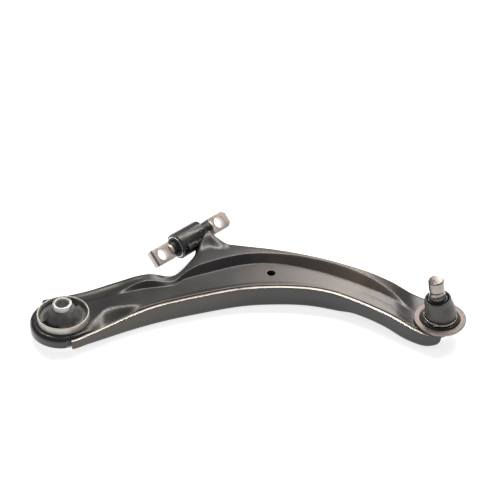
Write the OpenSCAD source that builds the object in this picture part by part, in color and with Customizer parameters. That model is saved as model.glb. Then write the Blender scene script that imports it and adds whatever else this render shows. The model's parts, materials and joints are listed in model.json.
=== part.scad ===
// Front lower control arm: two nested pressed-steel shells welded into a box, with a
// vertical voided bush at the rear, a horizontal bar-pin bush on a neck and a
// pinch-bolt ball joint at the outer end.
// Origin: bore axis of the rear bush, at the lower face of its inner sleeve.
// +X runs towards the ball joint, +Z up along the rear bore. Millimetres.

/* [Layout] */
// Rear bush axis to ball joint axis, along X
joint_x = 445; // [370:1:540]
// Ball joint axis, across Y
joint_y = -4; // [-30:1:30]
// Centre of the bar pin, along X
bar_x = 146; // [130:1:165]
// Centre of the bar pin, across Y
bar_y = 139; // [115:1:167]
// Height of the bar pin's axis
bar_z = 34; // [28:1:40]
// Direction of the bar pin's axis in plan, in degrees from +X
bar_azimuth = 44; // [38:1:50]
// Highest point that the near edge arches to, across Y
arch_y = 49; // [40:1:59]

/* [Shells] */
// Thickness of the pressed sheet
sheet = 3; // [2:0.1:3.6]
// Height of the main web
web_z = 27; // [22:0.5:32]
// Height of the plateau above the web
ridge_h = 9; // [6:0.5:11]
// Height of the plate around the rear bush
eye_z = 22.5; // [18:0.5:25]
// Outer radius of the eye around the rear bush
eye_r = 40; // [37:0.5:48]
// Size of the bend between the web and the flanges
bend = 5; // [3:0.5:6]
// Height of the raised near wall above the web
lip_h = 1; // [1:0.5:3]
// Gap between the near wall and the upper shell, filled by the seam weld
seam_gap = 1.2; // [0.8:0.1:2]
// Clearance between the far flanges of the two shells
nest_gap = 0.3; // [0.2:0.05:0.6]
// Diameter of the drain hole in the web
drain_d = 10.5; // [8:0.5:13]

/* [Rear bush] */
// Outside diameter of the outer sleeve
rear_d = 62; // [56:0.5:66]
// Wall of the outer sleeve
rear_wall = 1.8; // [1.2:0.1:2.5]
// Upper end of the outer sleeve
rear_top = 31.5; // [28:0.5:38]
// Outside diameter of the inner sleeve
core_d = 23; // [20:0.5:27]
// Bore for the mounting bolt
core_bore = 14.5; // [12:0.5:17]
// Length of the inner sleeve
core_len = 46; // [40:0.5:55]

/* [Bar pin and its bush] */
// Distance between the bar pin's two bolt holes
hole_pitch = 94; // [88:1:112]
// Diameter of each bolt hole
bar_hole = 14.5; // [12:0.5:16]
// Width of the flattened ends
paddle_w = 22; // [20:0.5:26]
// Thickness of the flattened ends
paddle_t = 10.5; // [8:0.5:12.5]
// Metal between each hole's centre and the end of the bar
paddle_end = 14.5; // [13:0.5:18]
// Diameter of the round barrel inside the rubber
barrel_d = 17; // [14:0.5:19]
// Turn of the flats about the bar's axis
bar_roll = 42; // [30:1:55]
// Outside diameter of the pivot tube
tube_d = 33; // [29:0.5:40]
// Wall of the pivot tube
tube_wall = 2.5; // [2:0.1:3.5]
// Length of the pivot tube
tube_len = 40; // [34:1:46]
// Shift of the tube towards the near end of the bar
tube_shift = 3; // [0:0.5:5]

/* [Ball joint] */
// Outside diameter of the ring plate
ring_d = 62; // [58:0.5:74]
// Thickness of the ring plate
ring_t = 3.5; // [3:0.1:4.5]
// Diameter of the housing where it is pressed into the ring plate
housing_d = 47; // [45:0.5:50]
// Diameter of the ball
ball_d = 26; // [22:0.5:27]
// Wall of the plastic ball seat
seat_wall = 1.8; // [1.4:0.1:2]
// Lean of the stud from vertical as it stands, towards the rear bush
stud_lean = 8.5; // [0:0.5:10]
// Length of the stud from the ball's centre
stud_len = 60; // [56:1:72]
// Diameter of the stud's lower, free stretch
stud_d = 20; // [18:0.5:21]
// Diameter of the stud's end above the clamp groove
tip_d = 18.5; // [16:0.5:19.5]
// Distance from the stud's end to the centre of the clamp groove
groove_drop = 18; // [15:0.5:20]
// Outside diameter of the boot's top
boot_top_d = 31; // [28:0.5:34]
// Outside diameter of the boot's skirt
boot_base_d = 38; // [37:0.5:42]
// Diameter of the clamp ring's wire
wire_d = 1.5; // [1:0.1:1.8]

/* [Hidden] */
$fn = 64;
// Rotating pieces that turn inside another keep this radial clearance.
run_gap = 0.05;
big = 400;

// ---- Places that several pieces share
bar_dir = [cos(bar_azimuth), sin(bar_azimuth), 0];
tube_mid = [bar_x, bar_y, bar_z] - tube_shift * bar_dir;
ring_z = web_z;
ball_z = ring_z - 2;
// Radius at which the seat's opening clears the stud's neck at full tilt
neck_d = 15;
full_tilt = 25.5;
mouth_angle = asin(neck_d / ball_d) + full_tilt + 1;
mouth_h = ball_d / 2 * cos(mouth_angle);

// ---- Smooth curves through a few [x, y] points
function part_of(p, x, i = 0) = i >= len(p) - 2 || x <= p[i + 1][0] ? i : part_of(p, x, i + 1);
function steepness(p, i) =
    let (a = max(i - 1, 0), b = min(i + 1, len(p) - 1)) (p[b][1] - p[a][1]) / (p[b][0] - p[a][0]);
function curve(p, x) =
    let (
        i = part_of(p, x),
        h = p[i + 1][0] - p[i][0],
        u = min(max((x - p[i][0]) / h, 0), 1)
    )
    p[i][1] * (1 + 2 * u) * (1 - u) * (1 - u) + p[i + 1][1] * u * u * (3 - 2 * u)
    + h * steepness(p, i) * u * (1 - u) * (1 - u) - h * steepness(p, i + 1) * u * u * (1 - u);
function slope(p, x) = curve(p, x + 0.5) - curve(p, x - 0.5);
// A wall's thickness measured along Y where its edge runs at a slope
function across(p, x, t) = t * sqrt(1 + pow(slope(p, x), 2));
// From the rear bush (0) to the neck (1), and from the neck (0) to the ball joint (1)
function aft(k) = k * tube_mid[0];
// The same share of the way from the rear bush out to the tube, across Y
function out(k) = k * tube_mid[1];
function fore(k) = tube_mid[0] + k * (joint_x - tube_mid[0]);

// ---- Plan of the arm: outer face of the near wall, and of the far flange
near_edge = [
    [-0.75 * eye_r, -0.6 * eye_r], [-0.3 * eye_r, -0.9 * eye_r], [aft(0.09), -eye_r - 0.5],
    [aft(0.23), -29], [aft(0.53), -2.5], [aft(0.78), 15.5], [fore(0.06), arch_y - 16.5],
    [fore(0.22), arch_y - 3.5], [fore(0.35), arch_y], [fore(0.48), arch_y - 2],
    [fore(0.58), arch_y - 10], [fore(0.68), arch_y - 26.5], [fore(0.78), 2],
    [fore(0.87), joint_y - 15], [fore(0.94), joint_y - ring_d / 2 + 3.5],
    [fore(1), joint_y - ring_d / 2 + 1]
];
far_edge = [
    [-0.75 * eye_r, eye_r - 4], [aft(0.12), eye_r + 12], [aft(0.4), out(0.489)],
    [aft(0.66), out(0.54)], [aft(0.84), out(0.577)],
    [tube_mid[0] - 5, tube_mid[1] - 41], [tube_mid[0] + 5, tube_mid[1] - 21],
    [tube_mid[0] + 15, tube_mid[1] - 3], [tube_mid[0] + 26, tube_mid[1] + 8],
    [tube_mid[0] + 35, tube_mid[1] - 1], [tube_mid[0] + 47, tube_mid[1] - 8.5],
    [fore(0.22), 124.5], [fore(0.37), 117], [fore(0.52), 103.5], [fore(0.69), 82],
    [fore(0.86), 57.5], [fore(0.95), joint_y + ring_d / 2 + 13], [fore(1), joint_y + ring_d / 2 + 5]
];
// Foot and top of the step between the web and the plateau
foot_line = [
    [-0.75 * eye_r, 16], [aft(0.42), out(0.292)], [aft(0.66), out(0.365)], [aft(0.9), out(0.409)],
    [aft(0.98), out(0.489)],
    [fore(0.09), 80], [fore(0.23), 95], [fore(0.36), 97], [fore(0.5), 85], [fore(0.63), 67.5],
    [fore(0.76), 44.5], [fore(0.83), 28], [fore(0.9), 10], [fore(1), joint_y + 8]
];
top_line = [
    [-0.75 * eye_r, 19], [aft(0.42), out(0.329)], [aft(0.66), out(0.42)], [aft(0.9), out(0.453)],
    [aft(1), out(0.548)],
    [fore(0.09), 89], [fore(0.23), 103], [fore(0.36), 104.5], [fore(0.5), 96], [fore(0.63), 79.5],
    [fore(0.76), 55.5], [fore(0.83), 37], [fore(0.9), 15], [fore(1), joint_y + 11]
];
// Inner edge of the pocket beside the near wall
pocket_line = [
    [-0.75 * eye_r, -12], [aft(0.24), -4], [aft(0.34), 13], [aft(0.53), 18], [aft(0.66), 22],
    [fore(0.06), arch_y - 3], [fore(0.35), arch_y + 14], [fore(0.58), arch_y + 3],
    [fore(0.78), 14], [fore(0.94), joint_y - ring_d / 2 + 17], [fore(1), joint_y - ring_d / 2 + 18]
];

// ---- Heights along the arm
function web_height(x) = curve([
    [-eye_r, eye_z], [aft(0.2), eye_z], [aft(0.6), web_z], [fore(0.82), web_z],
    [fore(0.9), ring_z - ring_t], [fore(1), ring_z - ring_t]
], x);
function step_height(x) = ridge_h * curve([
    [-eye_r, 0], [aft(0.4), 0], [aft(0.66), 0.6], [aft(0.88), 0.25], [fore(0.06), 1],
    [fore(0.4), 1], [fore(0.72), 0.9], [fore(0.87), 0.15], [fore(0.92), 0], [fore(1), 0]
], x);
// The far rim sinks towards the tube's underside and climbs over its far end.
function rim_rise(x) = curve([
    [-eye_r, 0], [aft(0.72), 0], [tube_mid[0] - 5, -9], [tube_mid[0] + 5, -12],
    [tube_mid[0] + 16, 4], [tube_mid[0] + 24, 9], [tube_mid[0] + 37, 5], [tube_mid[0] + 52, 0],
    [joint_x, 0]
], x);
function pocket_depth(x) = curve([
    [-eye_r, 0], [aft(0.2), 0], [aft(0.34), 8], [aft(0.5), 6], [aft(0.66), 0], [joint_x, 0]
], x);
function near_top(x) = curve([
    [-eye_r, eye_z - 2], [aft(0.25), eye_z - 1], [aft(0.8), web_z + lip_h],
    [fore(0.8), web_z + lip_h], [fore(0.93), ring_z - ring_t - 0.3], [fore(1), ring_z - ring_t - 0.3]
], x);
function floor_height(x) = curve([
    [-eye_r, 6.5], [aft(0.1), 6.5], [aft(0.45), 2.5], [aft(0.78), 0], [fore(0.5), 0],
    [fore(0.6), 1], [fore(0.67), 6], [fore(0.78), 6], [fore(0.86), 2.5], [fore(0.93), 3],
    [fore(0.97), 6], [fore(1), 9.5]
], x);
function near_flange_z(x) =
    max(web_height(x) - pocket_depth(x) - bend - 4, floor_height(x) + sheet + bend - 0.5);
function far_flange_z(x) = web_height(x) - (x < aft(0.1) ? 11 : x > fore(0.96) ? 9 : 15);

// ---- Stations along X: closer together where the neck bends
function even(a, b, n) = [for (i = [0:n - 1]) a + (b - a) * i / n];
neck_from = tube_mid[0] - 25;
neck_to = tube_mid[0] + 60;
lower_stations = concat(
    even(aft(0.09), neck_from, 9), even(neck_from, neck_to, 15),
    even(neck_to, joint_x - 4, 16), [joint_x - 4]
);
upper_stations = concat(even(-0.75 * eye_r, aft(0.09), 4), lower_stations, [joint_x]);

// Cross-section of the upper shell at x: outer skin from near to far, then back inside
function upper_section(x) =
    let (
        wall_n = across(near_edge, x, sheet),
        yn = curve(near_edge, x) + wall_n + across(near_edge, x, seam_gap),
        yf = curve(far_edge, x),
        wall_f = across(far_edge, x, sheet),
        zw = web_height(x),
        zn = zw - pocket_depth(x),
        zp = zw + step_height(x),
        zr = zp + rim_rise(x),
        y_pocket = curve(pocket_line, x),
        y_foot = max(curve(foot_line, x), y_pocket + 2),
        y_top = max(curve(top_line, x), y_foot + 3),
        y_bend = yf - bend,
        y_mid = (y_top + y_bend) / 2,
        in = 0.4 * sheet,
        outer = [
            [yn, near_flange_z(x)], [yn, zn - bend], [yn + bend, zn], [y_pocket, zw], [y_foot, zw],
            [y_top, zp], [y_mid, zp], [y_bend, zr], [yf, zr - bend], [yf, far_flange_z(x)]
        ],
        inner = [
            [yn + wall_n, near_flange_z(x)], [yn + wall_n, zn - bend - in], [yn + bend + in, zn - sheet],
            [y_pocket + in, zw - sheet], [y_foot + in, zw - sheet], [y_top + in, zp - sheet],
            [y_mid - in, zp - sheet], [y_bend - in, zr - sheet],
            [yf - wall_f, zr - bend - in], [yf - wall_f, far_flange_z(x)]
        ]
    )
    ring_of(x, outer, inner);

// Cross-section of the lower shell at x
function lower_section(x) =
    let (
        wall_n = across(near_edge, x, sheet),
        yn = curve(near_edge, x),
        wall_f = across(far_edge, x, sheet),
        yf = curve(far_edge, x) - wall_f - across(far_edge, x, nest_gap),
        z0 = floor_height(x),
        rim_z = web_height(x) + step_height(x) + rim_rise(x),
        z_far = min(max(far_flange_z(x) + 7, z0 + bend + 4), rim_z - bend - 0.4 * sheet - 0.5),
        in = 0.4 * sheet,
        outer = [
            [yn, near_top(x)], [yn, z0 + bend], [yn + bend, z0], [yf - bend, z0], [yf, z0 + bend],
            [yf, z_far]
        ],
        inner = [
            [yn + wall_n, near_top(x)], [yn + wall_n, z0 + bend + in], [yn + bend + in, z0 + sheet],
            [yf - bend - in, z0 + sheet], [yf - wall_f, z0 + bend + in], [yf - wall_f, z_far]
        ]
    )
    ring_of(x, inner, outer);

// Strip of weld between two faces, y0 to y1 and z0 to z1
function strip_section(x, y0, y1, z0, z1) = [[x, y0, z0], [x, y0, z1], [x, y1, z1], [x, y1, z0]];
function ring_of(x, outer, inner) = concat(
    [for (p = outer) [x, p[0], p[1]]],
    [for (i = [len(inner) - 1:-1:0]) [x, inner[i][0], inner[i][1]]]
);

// A closed solid through sections that have the same number of points, each running
// from its near side up and over to its far side
module loft(sections) {
    n = len(sections[0]);
    last = len(sections) - 1;
    sides = [
        for (i = [0:last - 1], j = [0:n - 1], side = [0, 1])
        let (a = i * n + j, b = i * n + (j + 1) % n, c = b + n, d = a + n)
        side == 0 ? [a, b, c] : [a, c, d]
    ];
    ends = [[for (j = [n - 1:-1:0]) j], [for (j = [0:n - 1]) last * n + j]];
    polyhedron([for (s = sections) for (p = s) p], concat(sides, ends));
}

module pipe(r_out, r_in, z0, z1) {
    translate([0, 0, z0]) difference() {
        cylinder(r = r_out, h = z1 - z0);
        translate([0, 0, -1]) cylinder(r = r_in, h = z1 - z0 + 2);
    }
}
module at_joint() translate([joint_x, joint_y, 0]) children();
module at_ball() translate([joint_x, joint_y, ball_z]) children();
module at_stud() at_ball() rotate([0, -stud_lean, 0]) children();
// X along the bar pin, from its middle; rolled puts Z on the flats' normal
module at_bar() translate([bar_x, bar_y, bar_z]) rotate([0, 0, bar_azimuth]) children();
module along_x(r, x0, x1) translate([x0, 0, 0]) rotate([0, 90, 0]) cylinder(r = r, h = x1 - x0);

tube_from = -tube_shift - tube_len / 2;
tube_to = -tube_shift + tube_len / 2;
// What the neck leaves free: the tube itself, and everything past the tube's axis
module neck_cut(gap) {
    at_bar() {
        along_x(tube_d / 2 + gap, tube_from - 30, tube_to + 30);
        translate([tube_from - 40, tube_d * 0.1, -big / 2]) cube([tube_len + 80, big, big]);
    }
}
weld_r = 3.2;
weld_tilt = 16;
module weld_rod(grow = 0) {
    at_bar() rotate([-weld_tilt, 0, 0])
        translate([0, -tube_d / 2 - 0.6, 0])
        along_x(weld_r + grow, tube_from + 6, tube_to - 3);
}

// ---- Shells
// Depth of the rim around the eye, and of the cup under it
eye_rim = 12.5;
cup_z = 4;
cup_h = 9;
// Width of the collar that each shell puts round the rear bush
collar_w = 2.5;
// Edge of the tongue under the ring plate
tongue_r = ring_d / 2 - 4.8;
// The drain hole lies this far along the arm, and this far in front of the step's foot
drain_x = fore(0.34);
drain_in = 19;
// Joins the lofted sheet and what is pressed out of it into one faceted skin
module one_skin() minkowski() union() children();
module upper_shell() {
    color([0.13, 0.12, 0.12]) difference() {
        one_skin() {
            loft([for (x = upper_stations) upper_section(x)]);
            difference() {
                translate([0, 0, eye_z - eye_rim]) cylinder(r = eye_r, h = eye_rim);
                translate([0, 0, eye_z - eye_rim - 1])
                    cylinder(r = eye_r - sheet, h = eye_rim + 1 - sheet);
                translate([0.15 * eye_r, -big / 2, -1]) cube([big, big, eye_z + 2]);
            }
            pipe(rear_d / 2 + collar_w, rear_d / 2, eye_z - 8, eye_z - 1);
            at_joint() pipe(tongue_r, housing_d / 2, ring_z - ring_t - sheet, ring_z - ring_t);
        }
        translate([0, 0, -1]) cylinder(r = rear_d / 2, h = 60);
        at_joint() translate([0, 0, -1]) cylinder(r = housing_d / 2, h = 60);
        translate([drain_x, curve(foot_line, drain_x) - drain_in, 0]) cylinder(d = drain_d, h = 60);
        neck_cut(0);
        weld_rod();
    }
}
module lower_shell() {
    cup_r = eye_r - sheet - nest_gap;
    color([0.2, 0.19, 0.18]) difference() {
        one_skin() {
            loft([for (x = lower_stations) lower_section(x)]);
            difference() {
                translate([0, 0, cup_z]) cylinder(r = cup_r, h = cup_h);
                translate([0, 0, cup_z + sheet]) cylinder(r = cup_r - sheet, h = cup_h);
                translate([0.45 * eye_r, -big / 2, 0]) cube([big, big, 20]);
            }
            pipe(rear_d / 2 + collar_w, rear_d / 2, cup_z, cup_z + cup_h - 1);
        }
        translate([0, 0, -1]) cylinder(r = rear_d / 2, h = 60);
        at_joint() translate([0, 0, -1]) cylinder(r = housing_d / 2, h = 60);
        neck_cut(0);
    }
}
module near_seam_weld() {
    color([0.25, 0.25, 0.25]) loft([
        for (x = lower_stations) if (x > aft(0.5) && x < fore(0.93))
        let (
            y0 = curve(near_edge, x) + across(near_edge, x, sheet),
            z1 = web_height(x) - pocket_depth(x) - bend
        )
        strip_section(x, y0, y0 + across(near_edge, x, seam_gap), z1 - 3.5, z1)
    ]);
}
module far_seam_weld() {
    color([0.25, 0.25, 0.25]) loft([
        for (x = lower_stations) if (x > neck_to && x < fore(0.95))
        let (y1 = curve(far_edge, x), y0 = y1 - across(far_edge, x, sheet + nest_gap))
        strip_section(x, y0, y1, far_flange_z(x) - 2.5, far_flange_z(x))
    ]);
}

// ---- Front bush
front_r = tube_d / 2 - tube_wall;
sleeve_wall = 1.5;
module bush_tube() {
    color([0.12, 0.12, 0.13]) at_bar() difference() {
        along_x(tube_d / 2, tube_from, tube_to);
        along_x(front_r, tube_from - 1, tube_to + 1);
    }
}
module bush_tube_weld() {
    color([0.3, 0.3, 0.3]) difference() {
        weld_rod();
        at_bar() along_x(tube_d / 2, tube_from - 5, tube_to + 5);
    }
}
module front_outer_sleeve() {
    color([0.55, 0.55, 0.55]) at_bar() difference() {
        along_x(front_r, tube_from - 1.5, tube_to + 1.5);
        along_x(front_r - sleeve_wall, tube_from - 3, tube_to + 3);
    }
}
paddle_from = hole_pitch / 2 - paddle_end;
module front_rubber() {
    r_out = front_r - sleeve_wall;
    color([0.06, 0.06, 0.06]) at_bar() difference() {
        union() {
            along_x(r_out, tube_from - 3, tube_to + 3);
            along_x(r_out - 1.5, -paddle_from + 0.4, paddle_from - 0.4);
        }
        along_x(barrel_d / 2 + run_gap, -paddle_from - 1, paddle_from + 1);
    }
}
// Half a plane's worth of metal behind a 45 degree cut at a paddle's corner
module behind_corner(side, reach) {
    translate([paddle_from, 0, 0]) rotate([0, 0, 45 * side])
        translate([-60, -60, -20]) cube([60 + reach / sqrt(2), 120, 40]);
}
module paddle(end_cut) {
    x1 = hole_pitch / 2 + paddle_end;
    reach = x1 - paddle_from + paddle_w / 2 - end_cut;
    difference() {
        intersection() {
            translate([paddle_from, -paddle_w / 2, -paddle_t / 2])
                cube([x1 - paddle_from, paddle_w, paddle_t]);
            behind_corner(1, reach);
            behind_corner(-1, reach);
        }
        translate([hole_pitch / 2, 0, -paddle_t]) cylinder(d = bar_hole, h = 2 * paddle_t);
    }
}
module bar_pin() {
    color([0.62, 0.58, 0.55]) at_bar() rotate([bar_roll, 0, 0]) difference() {
        union() {
            along_x(barrel_d / 2, -paddle_from - 2, paddle_from + 2);
            paddle(4.5);
            mirror([1, 0, 0]) paddle(2);
        }
        translate([-hole_pitch / 2 - paddle_end - 1, -paddle_w / 2 - 1, paddle_t / 2 - 2.5])
            cube([4, paddle_w + 2, 5]);
    }
}

// ---- Rear bush
rear_bottom = 2;
rubber_r = rear_d / 2 - rear_wall;
module rear_outer_sleeve() {
    color([0.5, 0.5, 0.5]) pipe(rear_d / 2, rubber_r, rear_bottom, rear_top);
}
module rear_inner_sleeve() {
    color([0.65, 0.66, 0.68]) rotate_extrude() polygon([
        [core_bore / 2, 0], [core_d / 2, 0], [core_d / 2, core_len - 0.8],
        [core_d / 2 - 0.8, core_len], [core_bore / 2 + 1.2, core_len],
        [core_bore / 2, core_len - 1.2]
    ]);
}
// A cone of rubber from the outer sleeve up to the inner one, with two kidney voids
module rear_rubber() {
    r0 = core_d / 2 + run_gap;
    r1 = rubber_r - run_gap;
    color([0.1, 0.1, 0.1]) difference() {
        rotate_extrude() polygon([
            [r0, 4], [r1, 4], [r1, rear_top - 8], [r1 - 5, rear_top - 8.5],
            [r0 + 7, rear_top - 2], [r0 + 2.5, core_len - 8], [r0, core_len - 6.5]
        ]);
        for (a = [150, -64]) rotate([0, 0, a - 32]) translate([0, 0, 3])
            rotate_extrude(angle = 64) translate([rubber_r - 8.5, 0]) square([6.5, core_len]);
    }
}

// ---- Ball joint
housing_floor = 5;
cap_t = 2.5;
washer_t = 1.5;
cavity_r = ball_d / 2 + seat_wall;
// The cavity narrows to the cap below this height, counted from the ball's centre
bowl_z = -10;
cap_r = cavity_r - 5.3;
housing_wall = 2.3;
lip_z = 6.5;
groove_r = cavity_r + 1.8;
groove_z0 = 3;
lip_bead = 0.8;
seat_top = mouth_h;
seat_low = housing_floor + cap_t + washer_t - ball_z;
module joint_ring_plate() {
    color([0.55, 0.5, 0.48]) at_joint() pipe(ring_d / 2, housing_d / 2, ring_z - ring_t, ring_z);
}
module ball_housing() {
    z = ball_z;
    color([0.18, 0.18, 0.18]) at_joint() rotate_extrude() polygon([
        [cavity_r, z + bowl_z], [cap_r, z + seat_low], [cap_r, housing_floor],
        [cap_r + housing_wall, housing_floor], [cavity_r + housing_wall, z + bowl_z],
        [cavity_r + housing_wall, ring_z - ring_t - 5], [housing_d / 2, ring_z - ring_t - 5],
        [housing_d / 2, ring_z - 0.6], [housing_d / 2 - 1.2, z + groove_z0],
        [groove_r, z + groove_z0], [groove_r, z + lip_z + 0.6], [groove_r + lip_bead, z + lip_z + 1],
        [groove_r + lip_bead, z + lip_z + 2], [stud_reach(lip_z + 2), z + lip_z + 2],
        [max(stud_reach(seat_top), cavity_r - 2.5), z + seat_top], [cavity_r, z + seat_top]
    ]);
}
// Radius that the tilted neck sweeps at height h above the ball's centre
function stud_reach(h) = neck_d / 2 / cos(full_tilt) + h * tan(full_tilt) + 0.4;
module housing_cap() {
    color([0.5, 0.5, 0.52]) at_joint() translate([0, 0, housing_floor]) cylinder(r = cap_r, h = cap_t);
}
module preload_washer() {
    z = housing_floor + cap_t;
    color([0.6, 0.6, 0.6]) at_joint() pipe(cap_r - 0.8, cap_r - 4.5, z, z + washer_t);
}
// Turns a [radius, height] outline about the ball's centre and leaves room for the ball
module seat_half(outline) {
    color([0.85, 0.85, 0.8]) at_ball() difference() {
        rotate_extrude() polygon(outline);
        sphere(d = ball_d + 2 * run_gap);
    }
}
module seat_lower_half()
    seat_half([[0, seat_low], [cap_r, seat_low], [cavity_r, bowl_z], [cavity_r, 0], [0, 0]]);
module seat_upper_half()
    seat_half([[0, 0], [cavity_r, 0], [cavity_r, seat_top], [0, seat_top]]);
module ball_stud() {
    groove_z = stud_len - groove_drop;
    groove_cut = 6.5;
    color([0.5, 0.5, 0.5]) at_stud() difference() {
        union() {
            sphere(d = ball_d);
            rotate_extrude() polygon([
                [0, 0], [neck_d / 2, 0], [neck_d / 2, 14], [stud_d / 2, 23], [stud_d / 2, groove_z],
                [tip_d / 2, groove_z], [tip_d / 2, stud_len - 1], [tip_d / 2 - 1, stud_len], [0, stud_len]
            ]);
        }
        rotate_extrude() translate([stud_d / 2 - 2 + groove_cut, groove_z]) circle(r = groove_cut);
    }
}
boot_z0 = lip_z + 2.6;
boot_z1 = stud_len - groove_drop - 9.4;
boot_wall = 2;
lip_in = stud_d / 2 + 1.4;
module boot_hull(shrink, z_up) {
    hull() {
        at_ball() translate([0, 0, boot_z0 - z_up]) cylinder(r = boot_base_d / 2 - shrink, h = 2, $fn = 48);
        at_stud() translate([0, 0, boot_z1 - 1.5 - z_up]) cylinder(r = boot_top_d / 2 - shrink, h = 1.5, $fn = 48);
    }
}
module dust_boot() {
    color([0.08, 0.08, 0.08]) difference() {
        union() {
            difference() {
                boot_hull(0, 0);
                boot_hull(boot_wall, boot_wall);
            }
            at_ball() pipe(groove_r + 1.8, groove_r + run_gap, groove_z0 + 0.3, boot_z0 + 0.5);
        }
        at_ball() translate([0, 0, lip_z + 0.4])
            cylinder(r = groove_r + lip_bead + run_gap, h = boot_z0 - lip_z);
        at_stud() cylinder(r = lip_in, h = stud_len);
    }
}
// Two turns of round wire that hold the boot on the housing
module boot_clamp_ring() {
    color([0.6, 0.6, 0.6]) at_ball() for (i = [0, 1])
        translate([0, 0, groove_z0 + 1 + (i + 0.5) * (wire_d + 0.1)]) rotate_extrude()
            translate([groove_r + 1.9 + wire_d / 2, 0]) circle(d = wire_d, $fn = 24);
}
// Steel insert that makes the boot's lip grip the stud
module boot_neck_ring() {
    color([0.6, 0.6, 0.6]) at_stud()
        pipe(lip_in - 0.05, stud_d / 2 + run_gap, boot_z1 - 4.5, boot_z1 - 1);
}

upper_shell();
lower_shell();
near_seam_weld();
far_seam_weld();
bush_tube();
bush_tube_weld();
front_outer_sleeve();
front_rubber();
bar_pin();
rear_outer_sleeve();
rear_rubber();
rear_inner_sleeve();
joint_ring_plate();
ball_housing();
housing_cap();
preload_washer();
seat_lower_half();
seat_upper_half();
ball_stud();
dust_boot();
boot_clamp_ring();
boot_neck_ring();
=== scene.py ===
# %% [markdown]
# # A front lower control arm
# This arm holds a front wheel. Two pressed steel shells are welded into a hollow box.
# A voided rubber bush at the rear and a bar-pin bush on the neck tie it to the car, and a
# ball joint at the far end carries the wheel's knuckle.
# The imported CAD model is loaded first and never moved. It gives every place and every
# size, and the finer shapes are then modelled around it, each as its own piece.

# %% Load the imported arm
import json
import math
import random

import bpy
from mathutils import Matrix, Vector


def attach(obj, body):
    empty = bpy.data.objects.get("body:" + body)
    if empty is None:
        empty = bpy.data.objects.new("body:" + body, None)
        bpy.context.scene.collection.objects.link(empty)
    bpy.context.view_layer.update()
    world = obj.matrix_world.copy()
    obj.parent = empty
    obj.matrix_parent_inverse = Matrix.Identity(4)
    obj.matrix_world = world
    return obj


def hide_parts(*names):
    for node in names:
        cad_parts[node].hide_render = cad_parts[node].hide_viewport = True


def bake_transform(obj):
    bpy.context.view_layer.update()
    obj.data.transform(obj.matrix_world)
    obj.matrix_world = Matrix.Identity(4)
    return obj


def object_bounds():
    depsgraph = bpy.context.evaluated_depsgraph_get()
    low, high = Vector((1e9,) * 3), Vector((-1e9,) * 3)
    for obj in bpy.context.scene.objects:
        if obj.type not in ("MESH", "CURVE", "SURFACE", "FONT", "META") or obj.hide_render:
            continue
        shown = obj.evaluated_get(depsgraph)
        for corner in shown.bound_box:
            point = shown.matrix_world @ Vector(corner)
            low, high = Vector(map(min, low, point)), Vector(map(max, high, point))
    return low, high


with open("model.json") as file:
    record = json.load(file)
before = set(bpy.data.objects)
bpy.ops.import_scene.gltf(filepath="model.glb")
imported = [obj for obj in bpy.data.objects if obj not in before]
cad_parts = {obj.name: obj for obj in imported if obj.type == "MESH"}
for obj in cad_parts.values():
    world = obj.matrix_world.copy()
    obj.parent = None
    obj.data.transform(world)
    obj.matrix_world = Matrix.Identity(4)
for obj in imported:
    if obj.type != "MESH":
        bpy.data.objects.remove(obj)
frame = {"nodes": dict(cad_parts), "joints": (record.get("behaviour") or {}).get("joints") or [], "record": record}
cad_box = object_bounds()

MM = 0.001
print("The CAD box in mm:", [[round(c / MM, 1) for c in corner] for corner in cad_box])

# %% [markdown]
# The camera comes first, so that every later picture is made from the same place. A long
# lens from above the near side keeps the arm's proportions almost free of perspective.

# %% Camera
camera_data = bpy.data.cameras.new("camera")
camera_data.lens = 120
camera_data.sensor_width = 36
camera = bpy.data.objects.new("camera", camera_data)
camera.location = (0.22077, -1.50469, 1.30053)
camera.rotation_euler = (math.radians(52), 0, 0)
bpy.context.scene.collection.objects.link(camera)
bpy.context.scene.camera = camera
print("Camera at", [round(c, 3) for c in camera.location])

# %% [markdown]
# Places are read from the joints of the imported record: the bar pin's centre and axis, the
# ball's centre and the stud's leaning axis. All of them are kept in millimetres, and a
# mesh is only scaled to metres when its points are set.

# %% Places read from the frame
joints = {joint["name"]: joint for joint in frame["joints"]}
ball = Vector(joints["ball_swing"]["pos_m"]) / MM
stud_axis = Vector(joints["ball_spin"]["axis"])
bar_centre = Vector(joints["bar_turn"]["pos_m"]) / MM
bar_axis = Vector(joints["bar_turn"]["axis"]).normalized()
TUBE_SHIFT = 3
tube_mid = bar_centre - TUBE_SHIFT * bar_axis

at_joint = Matrix.Translation((ball.x, ball.y, 0))
at_stud = Matrix.Translation(ball) @ Vector((0, 0, 1)).rotation_difference(stud_axis).to_matrix().to_4x4()
# Z runs along the bar, from its near end to its far end.
bar_turned = Matrix.Rotation(math.atan2(bar_axis.y, bar_axis.x), 4, "Z") @ Matrix.Rotation(math.pi / 2, 4, "Y")
at_bar = Matrix.Translation(bar_centre) @ bar_turned
print("Ball at", [round(c, 1) for c in ball], "and bar pin at", [round(c, 1) for c in bar_centre])

# %% [markdown]
# A few helpers do what a hand would do with the mouse. Everything is deselected before a
# primitive is added. A mesh's points are moved in code where a hand would sculpt them, and
# each finished mesh has its doubles merged and its normals turned outwards.

# %% Modelling helpers
def deselect():
    for thing in bpy.context.selected_objects:
        thing.select_set(False)


def select_only(piece):
    deselect()
    piece.select_set(True)
    bpy.context.view_layer.objects.active = piece


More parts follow.
